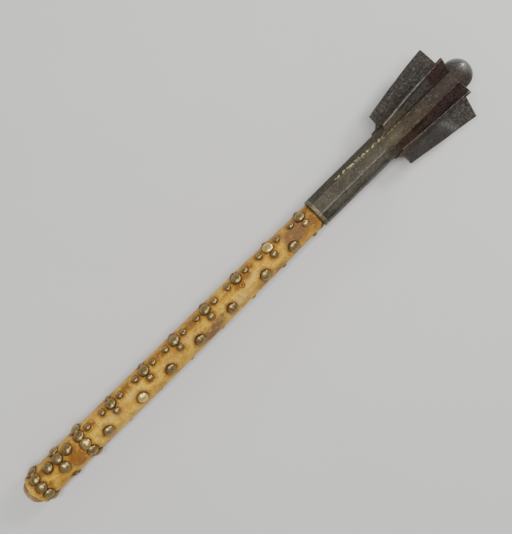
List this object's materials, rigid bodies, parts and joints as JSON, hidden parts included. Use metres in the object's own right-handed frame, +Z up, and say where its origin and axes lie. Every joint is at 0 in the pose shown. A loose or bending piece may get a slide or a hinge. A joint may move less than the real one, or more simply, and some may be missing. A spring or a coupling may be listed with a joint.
{
  "type": "ceremonial flanged mace",
  "caption": "Ceremonial mace with a flanged iron head, octagonal socket and domed tip, on a wooden haft covered in raw hide and studded with domed brass tacks.",
  "frame": {"origin": "on the surface the mace lies on, under the middle of its outline", "axes": "+X towards the domed tip, +Z up, the mace lying on two flanges and one tack of its butt"},
  "size_m": [0.619, 0.0878, 0.0768],
  "materials": {
    "forged_iron": "old forged iron, grey-brown patina",
    "haft_wood": "bare worn wood",
    "raw_hide": "stiff yellow raw hide",
    "old_brass": "darkened brass"
  },
  "bodies": {
    "root": {"haft": "haft_wood", "hide_cover": "raw_hide", "mace_head": "forged_iron", "flange_1": "forged_iron", "flange_2": "forged_iron", "flange_3": "forged_iron", "flange_4": "forged_iron", "flange_5": "forged_iron", "flange_6": "forged_iron", "tack_ring_butt": "old_brass", "tack_ring_grip": "old_brass", "cross_tacks_front": "old_brass", "cross_tacks_back": "old_brass", "cross_arm_butt": "old_brass", "cross_arm_grip": "old_brass", "cross_side_tack": "old_brass", "rosette_front_1": "old_brass", "rosette_front_2": "old_brass", "rosette_front_3": "old_brass", "rosette_front_4": "old_brass", "rosette_front_5": "old_brass", "rosette_front_6": "old_brass", "rosette_front_7": "old_brass", "rosette_back_1": "old_brass", "rosette_back_2": "old_brass", "rosette_back_3": "old_brass", "rosette_back_4": "old_brass", "rosette_back_5": "old_brass", "rosette_back_6": "old_brass", "rosette_back_7": "old_brass", "single_front_1": "old_brass", "single_front_2": "old_brass", "single_front_3": "old_brass", "single_front_4": "old_brass", "single_front_5": "old_brass", "single_front_6": "old_brass", "single_front_7": "old_brass", "single_back_1": "old_brass", "single_back_2": "old_brass", "single_back_3": "old_brass", "single_back_4": "old_brass", "single_back_5": "old_brass", "single_back_6": "old_brass", "single_back_7": "old_brass", "small_front_1": "old_brass", "small_front_2": "old_brass", "small_front_3": "old_brass", "small_front_4": "old_brass", "small_front_5": "old_brass", "small_front_6": "old_brass", "small_front_7": "old_brass", "small_front_8": "old_brass", "small_front_9": "old_brass", "small_front_10": "old_brass", "small_front_11": "old_brass", "small_front_12": "old_brass", "small_front_13": "old_brass", "small_front_14": "old_brass"}
  },
  "joints": []
}
